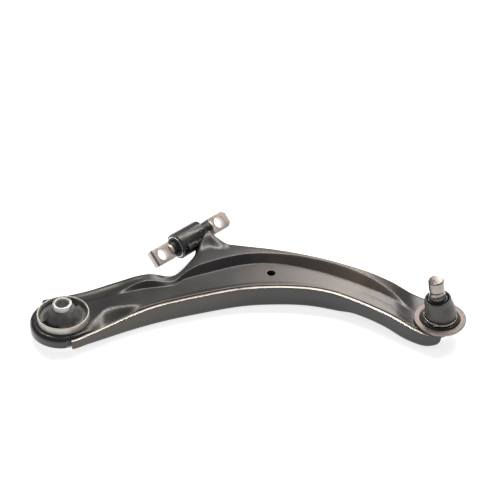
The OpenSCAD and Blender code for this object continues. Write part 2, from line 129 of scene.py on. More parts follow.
def tidy_mesh(piece, merge=0.004, fill=False):
    """Merges doubles, closes open ends if asked, and points every face outwards."""
    select_only(piece)
    bpy.ops.object.mode_set(mode="EDIT")
    bpy.ops.mesh.select_all(action="SELECT")
    bpy.ops.mesh.remove_doubles(threshold=merge * MM)
    if fill:
        bpy.ops.mesh.fill_holes(sides=0)
    bpy.ops.mesh.dissolve_degenerate(threshold=merge * MM)
    bpy.ops.mesh.delete_loose()
    bpy.ops.mesh.select_all(action="SELECT")
    bpy.ops.mesh.normals_make_consistent(inside=False)
    bpy.ops.object.mode_set(mode="OBJECT")


def grid(name, rows, columns, where, fill=False, merge=0.004):
    """A grid primitive with rows x columns points, each moved to where(row, column) in mm."""
    deselect()
    bpy.ops.mesh.primitive_grid_add(x_subdivisions=rows - 1, y_subdivisions=columns - 1, size=2)
    piece = bpy.context.object
    piece.name = name
    for vertex in piece.data.vertices:
        row = round((vertex.co.x + 1) / 2 * (rows - 1))
        column = round((vertex.co.y + 1) / 2 * (columns - 1))
        vertex.co = Vector(where(row, column)) * MM
    tidy_mesh(piece, merge, fill)
    return piece


def modify(piece, kind, **settings):
    """Adds a modifier, gives it its settings and applies it."""
    select_only(piece)
    modifier = piece.modifiers.new(kind.title(), kind)
    for key, value in settings.items():
        setattr(modifier, key, value)
    bpy.ops.object.modifier_apply(modifier=modifier.name)


def cut(piece, *cutters):
    for cutter in cutters:
        modify(piece, "BOOLEAN", operation="DIFFERENCE", solver="EXACT", object=cutter)
        bpy.data.objects.remove(cutter)


def rounded(points, steps=4):
    """A profile in which a corner given as (r, z, radius) becomes a small arc."""
    out = []
    for i, point in enumerate(points):
        here = Vector(point[:2])
        if len(point) < 3:
            out.append(here)
            continue
        before = (Vector(points[i - 1][:2]) - here).normalized() * point[2]
        after = (Vector(points[(i + 1) % len(points)][:2]) - here).normalized() * point[2]
        for k in range(steps + 1):
            t = k / steps
            out.append(here + before * (1 - t) ** 2 + after * t**2)
    return out


def turned(name, points, place=Matrix(), steps=96, arc=4, angle=math.tau):
    """A closed profile of (r, z) points, spun round Z as on a lathe, then placed."""
    profile = rounded(points, arc)
    deselect()
    bpy.ops.mesh.primitive_circle_add(vertices=len(profile), radius=MM)
    piece = bpy.context.object
    piece.name = name
    for vertex, point in zip(piece.data.vertices, profile):
        vertex.co = Vector((point.x, 0, point.y)) * MM
    bpy.ops.object.mode_set(mode="EDIT")
    bpy.ops.mesh.select_all(action="SELECT")
    bpy.ops.mesh.spin(steps=steps, angle=angle, center=(0, 0, 0), axis=(0, 0, 1))
    bpy.ops.object.mode_set(mode="OBJECT")
    tidy_mesh(piece)
    move_mesh(piece, place)
    return piece


def move_mesh(piece, place):
    """Moves the mesh itself, so that the object stays at the origin."""
    in_metres = place.copy()
    in_metres.translation *= MM
    piece.data.transform(in_metres)


def sweep(name, path, radius, sides=12):
    """A rod along path(t) in mm, t from 0 to 1, whose radius is radius(t, angle)."""
    count = path[0]
    line = [Vector(path[1](i / (count - 1))) for i in range(count)]
    frames = []
    for i in range(count):
        along = (line[min(i + 1, count - 1)] - line[max(i - 1, 0)]).normalized()
        side = along.cross(Vector((0, 0, 1))).normalized()
        frames.append((side, side.cross(along)))

    def where(row, column):
        angle = math.tau * column / sides
        side, up = frames[row]
        r = radius(row / (count - 1), angle)
        return line[row] + r * (math.cos(angle) * side + math.sin(angle) * up)

    return grid(name, count, sides + 1, where, fill=True)


def smooth(piece, degrees=35):
    select_only(piece)
    bpy.ops.object.shade_smooth_by_angle(angle=math.radians(degrees))


def ease(a, b, x):
    """0 before a, 1 after b, and a soft S between them."""
    t = min(max((x - a) / (b - a), 0), 1)
    return t * t * (3 - 2 * t)


def mix(a, b, t):
    return a + (b - a) * t


print("Helpers ready")

# %% [markdown]
# ## Finishes
# The arm is dipped in black electrocoat, the bushes are rubber and bare or plated steel.
# What the finishes share is built once as node groups: a slow drift between two colours, a
# fine grain, wear on the edges, dust on what faces up, and the rings that a lathe leaves.
# Each group puts out only a colour, a mask or a height. The shader stays in the material.

# %% Node helpers
def node(tree, kind, inputs=None, **settings):
    made = tree.nodes.new(kind)
    for key, value in settings.items():
        setattr(made, key, value)
    for key, value in (inputs or {}).items():
        if isinstance(value, bpy.types.NodeSocket):
            tree.links.new(value, made.inputs[key])
        else:
            made.inputs[key].default_value = value
    return made


def maths(tree, operation, a, b, clamp=False):
    return node(tree, "ShaderNodeMath", {0: a, 1: b}, operation=operation, use_clamp=clamp).outputs[0]


def blend_colour(tree, factor, a, b):
    mixed = node(tree, "ShaderNodeMix", data_type="RGBA")
    for socket, value in ((mixed.inputs[0], factor), (mixed.inputs[6], a), (mixed.inputs[7], b)):
        if isinstance(value, bpy.types.NodeSocket):
            tree.links.new(value, socket)
        else:
            socket.default_value = value
    return mixed.outputs[2]


def new_group(name, inputs, outputs):
    tree = bpy.data.node_groups.new(name, "ShaderNodeTree")
    for label, default in inputs.items():
        kind = {3: "NodeSocketVector", 4: "NodeSocketColor"}.get(
            len(default) if hasattr(default, "__len__") else 1, "NodeSocketFloat"
        )
        socket = tree.interface.new_socket(name=label, in_out="INPUT", socket_type=kind)
        socket.default_value = default
    for label, kind in outputs.items():
        tree.interface.new_socket(name=label, in_out="OUTPUT", socket_type="NodeSocket" + kind)
    return tree, tree.nodes.new("NodeGroupInput").outputs, tree.nodes.new("NodeGroupOutput").inputs


def noise(tree, vector, scale, detail=4.0, rough=0.5):
    return node(tree, "ShaderNodeTexNoise", {"Vector": vector, "Scale": scale, "Detail": detail, "Roughness": rough})


def stretch(tree, value, low, high):
    """Spreads low..high of a value to 0..1, so that a soft noise becomes patches."""
    ranged = node(tree, "ShaderNodeMapRange", {"Value": value, "From Min": low, "From Max": high})
    return ranged.outputs["Result"]


print("Node helpers ready")

# %% Shared groups: colour drift and grain
drift, given, out = new_group(
    "colour_drift", {"Vector": (0, 0, 0), "First": (0, 0, 0, 1), "Second": (0, 0, 0, 1), "Scale": 20.0},
    {"Colour": "Color", "Mask": "Float"},
)
slow = noise(drift, given["Vector"], given["Scale"], 5, 0.6)
patches = stretch(drift, slow.outputs[0], 0.35, 0.65)
drift.links.new(patches, out["Mask"])
drift.links.new(blend_colour(drift, patches, given["First"], given["Second"]), out["Colour"])

grain, given, out = new_group("fine_grain", {"Vector": (0, 0, 0), "Scale": 1200.0, "Peel": 260.0}, {"Height": "Float", "Speck": "Float"})
fine = noise(grain, given["Vector"], given["Scale"], 3, 0.6)
peel = noise(grain, given["Vector"], given["Peel"], 2, 0.4)
height = maths(grain, "ADD", maths(grain, "MULTIPLY", fine.outputs[0], 0.25), peel.outputs[0])
grain.links.new(height, out["Height"])
grain.links.new(stretch(grain, fine.outputs[0], 0.62, 0.72), out["Speck"])
print("Groups:", [tree.name for tree in bpy.data.node_groups])

# %% Shared groups: edge wear, dust and lathe rings
wear, given, out = new_group("edge_wear", {"Vector": (0, 0, 0), "Amount": 1.0}, {"Mask": "Float"})
softened = node(wear, "ShaderNodeBevel", {"Radius": 0.0009}, samples=4)
true_normal = node(wear, "ShaderNodeNewGeometry").outputs["Normal"]
agreement = node(wear, "ShaderNodeVectorMath", {0: softened.outputs[0], 1: true_normal}, operation="DOT_PRODUCT")
edge = stretch(wear, agreement.outputs["Value"], 0.985, 0.90)
broken = stretch(wear, noise(wear, given["Vector"], 240.0, 4, 0.7).outputs[0], 0.38, 0.58)
wear.links.new(maths(wear, "MULTIPLY", maths(wear, "MULTIPLY", edge, broken), given["Amount"], True), out["Mask"])

dust, given, out = new_group("dust", {"Vector": (0, 0, 0), "Amount": 0.5}, {"Mask": "Float"})
up = node(dust, "ShaderNodeSeparateXYZ", {0: node(dust, "ShaderNodeNewGeometry").outputs["Normal"]}).outputs["Z"]
lying = stretch(dust, up, -0.1, 0.9)
powder = stretch(dust, noise(dust, given["Vector"], 130.0, 8, 0.75).outputs[0], 0.40, 0.66)
dust.links.new(maths(dust, "MULTIPLY", maths(dust, "MULTIPLY", lying, powder), given["Amount"], True), out["Mask"])

rings, given, out = new_group("lathe_rings", {"Vector": (0, 0, 0), "Spacing": 1600.0}, {"Height": "Float"})
along_z = node(rings, "ShaderNodeSeparateXYZ", {0: given["Vector"]}).outputs["Z"]
stripe = node(rings, "ShaderNodeCombineXYZ", {2: maths(rings, "MULTIPLY", along_z, given["Spacing"])})
rings.links.new(noise(rings, stripe.outputs[0], 1.0, 3, 0.7).outputs[0], out["Height"])
print("Groups:", [tree.name for tree in bpy.data.node_groups])

# %% [markdown]
# One recipe builds each finish from those groups. Base colour drifts between two tones,
# then edge wear and dust are laid over it. Roughness follows the same masks, and the bump
# comes from the grain and, on turned steel, from the lathe rings along the part's axis.

# %% The recipe for a finish
def finish(
    name, first, second, rough, metal=0.0, drift_scale=20.0, peel=260.0, grain_scale=1200.0, bump=0.00004,
    worn=(0.35, 0.33, 0.31), wear_amount=0.5, dusty=(0.30, 0.28, 0.25), dust_amount=0.0, ring_axis=None,
    ring_bump=0.00006, coat=0.0, ramp=None,
):
    material = bpy.data.materials.new(name)
    material.use_nodes = True
    tree = material.node_tree
    shader = tree.nodes["Principled BSDF"]
    place = node(tree, "ShaderNodeTexCoord").outputs["Object"]

    def group(made, **inputs):
        return node(tree, "ShaderNodeGroup", {"Vector": place, **inputs}, node_tree=made).outputs

    tones = group(drift, First=(*first, 1), Second=(*second, 1), Scale=drift_scale)
    colour = tones["Colour"]
    # A ramp, where given, multiplies the base colour along the part's X. It is painted light and shade: lighter where
    # light would fall and darker where the part would be in shade.
    if ramp:
        x = node(tree, "ShaderNodeSeparateXYZ", {0: place}).outputs["X"]
        wander = maths(tree, "MULTIPLY", maths(tree, "SUBTRACT", tones["Mask"], 0.5), 0.05)
        along = stretch(tree, maths(tree, "ADD", x, wander), -0.04, 0.48)
        colours = node(tree, "ShaderNodeValToRGB", {0: along})
        stops = colours.color_ramp.elements
        while len(stops) < len(ramp):
            stops.new(0.5)
        for stop, (at, tone) in zip(stops, ramp):
            stop.position = (at / 1000 + 0.04) / 0.52
            stop.color = (*tone, 1)
        shade = node(tree, "ShaderNodeMix", data_type="RGBA", blend_type="MULTIPLY")
        shade.inputs[0].default_value = 1.0
        tree.links.new(colours.outputs[0], shade.inputs[6])
        tree.links.new(colour, shade.inputs[7])
        colour = shade.outputs[2]
    texture = group(grain, Scale=grain_scale, Peel=peel)
    edges = group(wear, Amount=wear_amount)["Mask"]
    colour = blend_colour(tree, edges, colour, (*worn, 1))
    roughness = node(
        tree, "ShaderNodeMapRange", {"Value": tones["Mask"], "To Min": rough[0], "To Max": rough[1]}
    ).outputs["Result"]
    if dust_amount:
        powder = group(dust, Amount=dust_amount)["Mask"]
        colour = blend_colour(tree, powder, colour, (*dusty, 1))
        roughness = maths(tree, "ADD", roughness, maths(tree, "MULTIPLY", powder, 0.25))
    tree.links.new(colour, shader.inputs["Base Color"])
    tree.links.new(roughness, shader.inputs["Roughness"])
    normal = node(tree, "ShaderNodeBump", {"Height": texture["Height"], "Distance": bump, "Strength": 1.0})
    if ring_axis is not None:
        turn = Vector((0, 0, 1)).rotation_difference(Vector(ring_axis)).inverted().to_euler()
        mapped = node(tree, "ShaderNodeMapping", {"Vector": place, "Rotation": turn}, vector_type="POINT")
        lines = node(tree, "ShaderNodeGroup", {"Vector": mapped.outputs[0]}, node_tree=rings)
        normal = node(
            tree, "ShaderNodeBump",
            {"Height": lines.outputs["Height"], "Distance": ring_bump, "Normal": normal.outputs[0]},
        )
    tree.links.new(normal.outputs[0], shader.inputs["Normal"])
    shader.inputs["Metallic"].default_value = metal
    shader.inputs["Coat Weight"].default_value = coat
    shader.inputs["Coat Roughness"].default_value = 0.25
    return material


print("Recipe ready")

# %% [markdown]
# Electrocoat looks black in the tin, and on the pressed steel it is a very dark grey. The ramp
# along the arm paints light and shade into that grey: cool and nearly black at the rear eye as
# painted shade, a warm brown on the web as a painted sheen, and dark again by the ball joint as
# painted shade.

# %% Painted finishes
# The ramp below is painted light and shade: near-black at the rear, a warm painted sheen from 290 to 366 mm, and
# painted shade from 390 mm to the ball joint.
coat_upper = finish(
    "black_coat_upper_painted_light", (0.85, 0.85, 0.88), (1.0, 1.0, 1.0), (0.28, 0.38), drift_scale=14, coat=0.35,
    ramp=[(-40, (0.010, 0.010, 0.011)), (60, (0.012, 0.012, 0.013)), (200, (0.026, 0.025, 0.026)),
          (290, (0.090, 0.071, 0.059)), (335, (0.150, 0.116, 0.093)), (366, (0.085, 0.069, 0.058)),
          (390, (0.032, 0.030, 0.029)), (425, (0.020, 0.020, 0.019))],
    worn=(0.36, 0.29, 0.25), wear_amount=0.25,
)
# This ramp is painted light and shade: lighter and warmer on the rear half of the near wall as painted light, and
# darker and cooler towards the ball joint as painted shade.
coat_lower = finish(
    "black_coat_lower_painted_light", (0.85, 0.85, 0.88), (1.0, 1.0, 1.0), (0.34, 0.46), drift_scale=14, coat=0.1,
    ramp=[(-40, (0.050, 0.052, 0.056)), (40, (0.060, 0.054, 0.046)), (160, (0.058, 0.053, 0.046)),
          (260, (0.036, 0.036, 0.036)), (350, (0.030, 0.031, 0.035)), (450, (0.034, 0.035, 0.040))],
    worn=(0.40, 0.36, 0.32), wear_amount=0.35,
)
coat_tube = finish(
    "black_coat_tube", (0.016, 0.016, 0.018), (0.040, 0.038, 0.038), (0.25, 0.40), drift_scale=35, coat=0.2,
    worn=(0.45, 0.40, 0.34), wear_amount=0.6,
)
coat_housing = finish(
    "black_coat_housing", (0.012, 0.012, 0.013), (0.035, 0.033, 0.030), (0.25, 0.45), drift_scale=60, coat=0.2,
    worn=(0.30, 0.27, 0.24), wear_amount=0.5,
)
# The sheet's cut edge is bare steel, and its light tone also paints in the highlight that runs along the wall's top.
raw_edge_painted_highlight = finish(
    "sheared_edge_painted_highlight", (0.42, 0.37, 0.33), (0.62, 0.57, 0.52), (0.25, 0.40), metal=0.55, drift_scale=45,
    bump=0.00008, grain_scale=900, wear_amount=0.3, worn=(0.7, 0.68, 0.66),
)
weld_skin = finish(
    "weld_bead", (0.012, 0.012, 0.014), (0.10, 0.095, 0.09), (0.20, 0.50), metal=0.3, drift_scale=160,
    bump=0.0002, peel=500, worn=(0.7, 0.68, 0.64), wear_amount=0.9,
)
print("Painted:", coat_upper.name, coat_lower.name, raw_edge_painted_highlight.name, weld_skin.name)

# %% [markdown]
# Bare and plated steel is metal, so its colour is its reflection. Turned parts get lathe
# rings along their axis, and forged or stamped ones only a grain. Rubber has no shine of
# its own: it is dark, rough and dusted on its upper faces.

# %% Steel and rubber finishes
bar_steel = finish(
    "bar_pin_steel", (0.50, 0.45, 0.41), (0.68, 0.62, 0.58), (0.38, 0.52), metal=0.5, drift_scale=70,
    bump=0.00012, grain_scale=1500, peel=700, worn=(0.70, 0.68, 0.66), wear_amount=0.8,
)
ring_steel = finish(
    "ring_plate_steel", (0.20, 0.165, 0.15), (0.33, 0.28, 0.26), (0.36, 0.52), metal=0.45, drift_scale=55,
    bump=0.0001, grain_scale=1400, peel=600, worn=(0.45, 0.38, 0.34), wear_amount=0.4,
)
stud_steel = finish(
    "stud_steel", (0.22, 0.20, 0.185), (0.34, 0.315, 0.295), (0.20, 0.32), metal=0.9, drift_scale=90,
    bump=0.00003, worn=(0.5, 0.48, 0.46), wear_amount=0.15, ring_axis=stud_axis,
)
zinc = finish(
    "zinc_sleeve", (0.50, 0.50, 0.50), (0.66, 0.67, 0.68), (0.28, 0.45), metal=0.75, drift_scale=120,
    bump=0.00008, worn=(0.9, 0.9, 0.9), wear_amount=0.9, ring_axis=(0, 0, 1),
)
sleeve_steel = finish(
    "rear_sleeve_steel", (0.50, 0.47, 0.42), (0.65, 0.62, 0.58), (0.32, 0.48), metal=0.4, drift_scale=60,
    bump=0.00006, worn=(0.85, 0.84, 0.80), wear_amount=1.0, ring_axis=(0, 0, 1), ring_bump=0.00003,
)
front_steel = finish(
    "front_sleeve_steel", (0.50, 0.47, 0.44), (0.66, 0.63, 0.60), (0.22, 0.35), metal=0.8, drift_scale=90,
    worn=(0.9, 0.88, 0.85), wear_amount=0.8, ring_axis=bar_axis,
)
wire_steel = finish(
    "clamp_wire_steel", (0.45, 0.43, 0.40), (0.70, 0.68, 0.64), (0.15, 0.28), metal=0.95, drift_scale=200,
    worn=(0.9, 0.9, 0.88), wear_amount=0.3, bump=0.00002,
)
rear_rubber_skin = finish(
    "rear_rubber", (0.055, 0.056, 0.057), (0.13, 0.13, 0.13), (0.40, 0.60), drift_scale=55,
    bump=0.0003, peel=320, grain_scale=1100, worn=(0.16, 0.155, 0.15), wear_amount=0.5,
    dusty=(0.34, 0.325, 0.30), dust_amount=0.55,
)
front_rubber_skin = finish(
    "front_rubber", (0.010, 0.010, 0.011), (0.022, 0.022, 0.024), (0.35, 0.50), drift_scale=70,
    bump=0.0001, worn=(0.10, 0.10, 0.11), wear_amount=0.5,
)
boot_rubber = finish(
    "boot_rubber", (0.038, 0.038, 0.037), (0.075, 0.075, 0.073), (0.36, 0.48), drift_scale=50,
    bump=0.00008, peel=420, grain_scale=1800, worn=(0.10, 0.10, 0.095), wear_amount=0.4, coat=0.1,
    dust_amount=0.12,
)
seat_plastic = finish(
    "seat_plastic", (0.55, 0.53, 0.47), (0.66, 0.64, 0.58), (0.35, 0.45), drift_scale=80, bump=0.00003,
    wear_amount=0.2,
)
print("Finishes:", len(bpy.data.materials))

# %% [markdown]
# ## The pressed shells
# Each shell is one sheet of 3 mm steel pressed into a pan. Its plan is drawn by a few
# curves that run along the arm: the near and the far edge, the foot and the top of the step
# between the web and the plateau, and the inner edge of a pocket. The same curves shape the
# CAD shells, so the new ones lie in the same place.

# %% Curves along the arm
SHEET = 3
SEAM_GAP = 1.2
NEST_GAP = 0.3
EYE_R = 40
WEB_Z = 27
joint = ball.xy
tube = tube_mid.xy


def aft(share):
    """From the rear bush (0) to the neck (1)."""
    return share * tube.x


def fore(share):
    """From the neck (0) to the ball joint (1)."""
    return tube.x + share * (joint.x - tube.x)


def curve(points, x):
    """A smooth line through a few (x, value) points."""
    i = 0
    while i < len(points) - 2 and x > points[i + 1][0]:
        i += 1

    def steepness(k):
        a, b = max(k - 1, 0), min(k + 1, len(points) - 1)
        return (points[b][1] - points[a][1]) / (points[b][0] - points[a][0])

    (x0, y0), (x1, y1) = points[i], points[i + 1]
    run = x1 - x0
    u = min(max((x - x0) / run, 0), 1)
    bends = steepness(i) * u * (1 - u) ** 2 - steepness(i + 1) * u * u * (1 - u)
    return y0 * (1 + 2 * u) * (1 - u) ** 2 + y1 * u * u * (3 - 2 * u) + run * bends


def lean(points, x):
    """How much longer a width gets where the line runs at a slant."""
    return math.hypot(1, curve(points, x + 0.5) - curve(points, x - 0.5))


near_edge = [
    (-30, -24), (-12, -36), (aft(0.09), -40.5), (aft(0.23), -29), (aft(0.53), -2.5), (aft(0.78), 15.5),
    (fore(0.06), 32.5), (fore(0.22), 45.5), (fore(0.35), 49), (fore(0.48), 47), (fore(0.58), 39),
    (fore(0.68), 22.5), (fore(0.78), 2), (fore(0.87), joint.y - 15), (fore(0.94), joint.y - 27.5),
    (fore(1), joint.y - 30),
]
far_edge = [
    (-30, 36), (aft(0.12), 52), (aft(0.4), 67), (aft(0.66), 74), (aft(0.84), 79),
    (tube.x - 5, tube.y - 41), (tube.x + 5, tube.y - 21), (tube.x + 15, tube.y - 3),
    (tube.x + 26, tube.y + 8), (tube.x + 35, tube.y - 1), (tube.x + 47, tube.y - 8.5),
    (fore(0.22), 124.5), (fore(0.37), 117), (fore(0.52), 103.5), (fore(0.69), 82), (fore(0.86), 57.5),
    (fore(0.95), joint.y + 44), (fore(1), joint.y + 36),
]
foot_line = [
    (-30, 16), (aft(0.42), 40), (aft(0.66), 50), (aft(0.9), 56), (aft(0.98), 67), (fore(0.09), 80),
    (fore(0.23), 95), (fore(0.36), 97), (fore(0.5), 85), (fore(0.63), 67.5), (fore(0.76), 44.5),
    (fore(0.83), 28), (fore(0.9), 10), (fore(1), joint.y + 8),
]
top_line = [
    (-30, 19), (aft(0.42), 45), (aft(0.66), 57.5), (aft(0.9), 62), (aft(1), 75), (fore(0.09), 89),
    (fore(0.23), 103), (fore(0.36), 104.5), (fore(0.5), 96), (fore(0.63), 79.5), (fore(0.76), 55.5),
    (fore(0.83), 37), (fore(0.9), 15), (fore(1), joint.y + 11),
]
pocket_line = [
    (-30, -12), (aft(0.24), -4), (aft(0.34), 13), (aft(0.53), 18), (aft(0.66), 22), (fore(0.06), 46),
    (fore(0.35), 63), (fore(0.58), 52), (fore(0.78), 14), (fore(0.94), joint.y - 14), (fore(1), joint.y - 13),
]
print("Edges at the neck:", round(curve(near_edge, tube.x)), "to", round(curve(far_edge, tube.x)), "mm")

# %% Heights along the arm
web_line = [(-40, 22.5), (aft(0.2), 22.5), (aft(0.6), WEB_Z), (fore(0.82), WEB_Z), (fore(0.9), 23.5), (fore(1), 23.5)]
step_line = [
    (-40, 0), (aft(0.4), 0), (aft(0.66), 5.4), (aft(0.88), 2.2), (fore(0.06), 9), (fore(0.4), 9),
    (fore(0.72), 8.1), (fore(0.87), 1.3), (fore(0.92), 0), (fore(1), 0),
]
rise_line = [
    (-40, 0), (aft(0.72), 0), (tube.x - 5, -9), (tube.x + 5, -12), (tube.x + 16, 4), (tube.x + 24, 9),
    (tube.x + 37, 5), (tube.x + 52, 0), (joint.x, 0),
]
pocket_depths = [(-40, 0), (aft(0.2), 0), (aft(0.34), 8), (aft(0.5), 6), (aft(0.66), 0), (joint.x, 0)]
wall_top_line = [
    (-40, 20.5), (aft(0.25), 21.5), (aft(0.8), 28), (fore(0.8), 28), (fore(0.93), 23.2), (fore(1), 23.2),
]
floor_line = [
    (-40, 6.5), (aft(0.1), 6.5), (aft(0.45), 2.5), (aft(0.78), 0), (fore(0.5), 0), (fore(0.6), 1),
    (fore(0.67), 6), (fore(0.78), 6), (fore(0.86), 2.5), (fore(0.93), 3), (fore(0.97), 6), (fore(1), 9.5),
]


def ramp(t, soft):
    """A straight climb from 0 to 1 whose two corners are rounded over soft."""
    def corner(s):
        if s <= -soft / 2:
            return 0
        return s if s >= soft / 2 else (s + soft / 2) ** 2 / (2 * soft)
    return corner(t) - corner(t - 1)


def rim_drop(depth, radius):
    """How far a rounded rim lies below the sheet, at a distance in from its edge."""
    left = radius - min(max(depth, 0), radius)
    return radius - math.sqrt(radius**2 - left**2)


print("Web height at the rear eye and at the neck:", curve(web_line, 0), curve(web_line, tube.x))

# %% [markdown]
# Seen from above, the upper shell ends in a round eye at the rear, with a sharp corner left
# by the blank on its far side, and in a round tongue under the ball joint's ring plate.
# Its rim rolls over and runs down as a flange. The rows of the grid follow all of that:
# some lie in the flanges, more in the rolled rims, and the rest follow the step's lines, so
# that the step's corners stay crisp.

# %% Outline of the upper shell
CORNER_X = -29
TONGUE_R = 26.2


def circle_y(x, radius):
    return math.sqrt(max(radius**2 - x**2, 0))


def upper_near(x):
    pressed = curve(near_edge, x) + (SHEET + SEAM_GAP) * lean(near_edge, x)
    if x > joint.x:
        return mix(pressed, joint.y - circle_y(x - joint.x, TONGUE_R), ease(joint.x, joint.x + 4, x))
    return mix(-circle_y(x, EYE_R), pressed, ease(4, 12.5, x))


def upper_far(x):
    if x > joint.x:
        return mix(joint.y + 36, joint.y + circle_y(x - joint.x, TONGUE_R), ease(joint.x, joint.x + 12, x))
    return circle_y(x, EYE_R) if x < CORNER_X else curve(far_edge, x)


def upper_depths(x, y):
    """Distance in from the near edge and from the far edge."""
    near = (y - upper_near(x)) / lean(near_edge, x)
    far = (upper_far(x) - y) / lean(far_edge, x)
    in_eye = EYE_R - math.hypot(x, y)
    in_near_eye = in_eye if y < 0 else EYE_R
    if x < 4:
        near = in_near_eye
    elif x < 12.5:
        near = mix(in_near_eye, near, ease(4, 12.5, x))
    if x < CORNER_X:
        far = in_eye
    elif x < 5:
        far = max(in_eye, min(far, x - CORNER_X)) if y > 0 else far
    if x > joint.x:
        in_tongue = TONGUE_R - math.hypot(x - joint.x, y - joint.y)
        near = far = mix(min(near, far), in_tongue, ease(joint.x, joint.x + 6, x))
    return near, far


def web_beads(x, y):
    """Two faint draw lines that the press leaves where the web narrows."""
    near = upper_near(x)
    strength = ease(352, 372, x) * (1 - ease(398, 410, x))
    lines = sum(math.exp(-(((y - near - at) / 0.8) ** 2)) for at in (15 - (x - 352) * 0.05, 18.5 - (x - 352) * 0.06))
    return -0.28 * strength * lines


def upper_height(x, y):
    """Height of the upper shell's outer skin."""
    near, far = upper_near(x), upper_far(x)
    foot = max(curve(foot_line, x), curve(pocket_line, x) + 2)
    top = max(curve(top_line, x), foot + 3)
    z = curve(web_line, x)
    into_pocket = (y - near - 4) / max(curve(pocket_line, x) - near - 4, 1)
    z -= curve(pocket_depths, x) * (1 - ramp(into_pocket, 0.5))
    z += curve(step_line, x) * ramp((y - foot) / (top - foot), 0.30)
    middle, bend = (top + far - 6) / 2, far - 5
    z += curve(rise_line, x) * ease(min(middle, bend - 4), bend, y)
    across_top = min(max((y - top) / max(far - top, 4), 0), 1)
    z += 0.9 * curve(step_line, x) / 9 * math.sin(math.pi * across_top)
    z += web_beads(x, y) if x > 350 else 0
    near_depth, far_depth = upper_depths(x, y)
    near_r = mix(6, 3.4, ease(5, 30, x))
    far_r = mix(4.5, 6, ease(-28, 10, x))
    on_tongue = ease(joint.x - 8, joint.x + 1, x)
    near_r, far_r = mix(near_r, 2, on_tongue), mix(far_r, 2, on_tongue)
    return z - max(rim_drop(near_depth, near_r), rim_drop(far_depth, far_r))


print("Plateau stands", round(upper_height(250, 105) - upper_height(250, 80), 1), "mm above the web")

# %% Rows and stations of the upper shell
RIM_STEPS = (0, 0.034, 0.134, 0.293, 0.5, 0.741, 1)


def upper_rows(x):
    """The y of each row across the sheet, rim to rim."""
    near, far = upper_near(x), upper_far(x)
    width = far - near
    near_rim = min(mix(6, 3.4, ease(5, 30, x)) * lean(near_edge, x), 0.3 * width)
    far_rim = min(6 * lean(far_edge, x), 0.3 * width)
    a, b = near + near_rim, far - far_rim
    foot = max(curve(foot_line, x), curve(pocket_line, x) + 2)
    top = max(curve(top_line, x), foot + 3)
    soft = 0.18 * (top - foot)
    marks = (a, curve(pocket_line, x), foot - soft, foot + soft, top - soft, top + soft, b)
    counts = (7, 22, 5, 4, 5, 12)
    inner = []
    for start, end, count in zip(marks, marks[1:], counts):
        inner += [start + (end - start) * k / count for k in range(count)]
    inner.append(b)
    follow = ease(-22, 6, x) * (1 - ease(joint.x - 6, joint.x + 6, x))
    total = len(inner) - 1
    least = 0.12 * (b - a) / total
    rows, last = [], a
    for k, y in enumerate(inner):
        even = a + (b - a) * k / total
        y = mix(even, y, follow)
        y = min(max(y, last + (least if k else 0)), b - least * (total - k))
        rows.append(y)
        last = y
    near_rows = [near + near_rim * s for s in RIM_STEPS[:-1]]
    far_rows = [far - far_rim * s for s in reversed(RIM_STEPS[:-1])]
    return near_rows + rows + far_rows


def ends_fine(start, end, count, at_start=True):
    """Stations whose steps shrink towards one end."""
    share = [1 - math.cos(math.pi / 2 * k / count) for k in range(count + 1)]
    if not at_start:
        share = [1 - s for s in reversed(share)]
    return [start + (end - start) * s for s in share]


stations = ends_fine(-EYE_R, 0, 40)
stations += [CORNER_X - 0.02, CORNER_X, CORNER_X + 0.2, CORNER_X + 0.7, CORNER_X + 1.5]
stations += [joint.x * k / 285 for k in range(1, 286)]
stations += [fore(0.34) - 6 + 0.8 * k for k in range(16)]
stations += ends_fine(joint.x, joint.x + TONGUE_R, 18, at_start=False)[1:]
stations = sorted(set(round(x, 3) for x in stations))
print(len(stations), "stations and", len(upper_rows(200)), "rows")

# %% Upper shell
FLANGE_STEPS = (1, 0.75, 0.5, 0.25)


def upper_bottoms(x):
    """Lower edge of the near and of the far flange."""
    near = max(curve(web_line, x) - curve(pocket_depths, x) - 9, curve(floor_line, x) + 7.5)
    near = mix(10, near, ease(4, 14, x))
    far = curve(web_line, x) - mix(11, 15, ease(8, 20, x)) + 6 * ease(fore(0.94), fore(0.97), x)
    far = mix(10, far, ease(CORNER_X - 1, CORNER_X + 1, x))
    tongue = ease(joint.x - 3, joint.x + 3, x)
    return mix(near, 20.3, tongue), mix(far, 20.3, tongue)


def pan(name, stations, rows_at, height, bottoms):
    """A pressed pan: a grid over the sheet, with extra rows that run down as flanges."""
    table = []
    for x in stations:
        ys = rows_at(x)
        points = [Vector((x, y, height(x, y))) for y in ys]
        near, far = bottoms(x)
        down = [Vector((x, ys[0], mix(points[0].z, near, s))) for s in FLANGE_STEPS]
        back = [Vector((x, ys[-1], mix(points[-1].z, far, s))) for s in reversed(FLANGE_STEPS)]
        table.append(down + points + back)
    return grid(name, len(table), len(table[0]), lambda row, column: table[row][column])


def outward(piece, up):
    """An open pan has no inside, so its faces are turned by where they look on its web."""
    wrong = sum(1 if (face.normal.z > 0) != up else -1 for face in piece.data.polygons if abs(face.normal.z) > 0.7)
    if wrong > 0:
        select_only(piece)
        bpy.ops.object.mode_set(mode="EDIT")
        bpy.ops.mesh.select_all(action="SELECT")
        bpy.ops.mesh.flip_normals()
        bpy.ops.object.mode_set(mode="OBJECT")


def give_sheet(piece):
    """Thickness inwards. The sheet's edge takes the second material and a small bevel."""
    modify(piece, "SOLIDIFY", thickness=SHEET * MM, offset=-1, use_even_offset=False, use_rim=True,
           material_offset_rim=1, use_quality_normals=True)
    modify(piece, "BEVEL", width=0.35 * MM, segments=2, limit_method="ANGLE", angle_limit=math.radians(70),
           use_clamp_overlap=True)


def rod(radius, z0, z1, place, name="cutter", steps=96):
    """A plain round cutter."""
    return turned(name, [(0, z0), (radius, z0), (radius, z1), (0, z1)], place, steps)


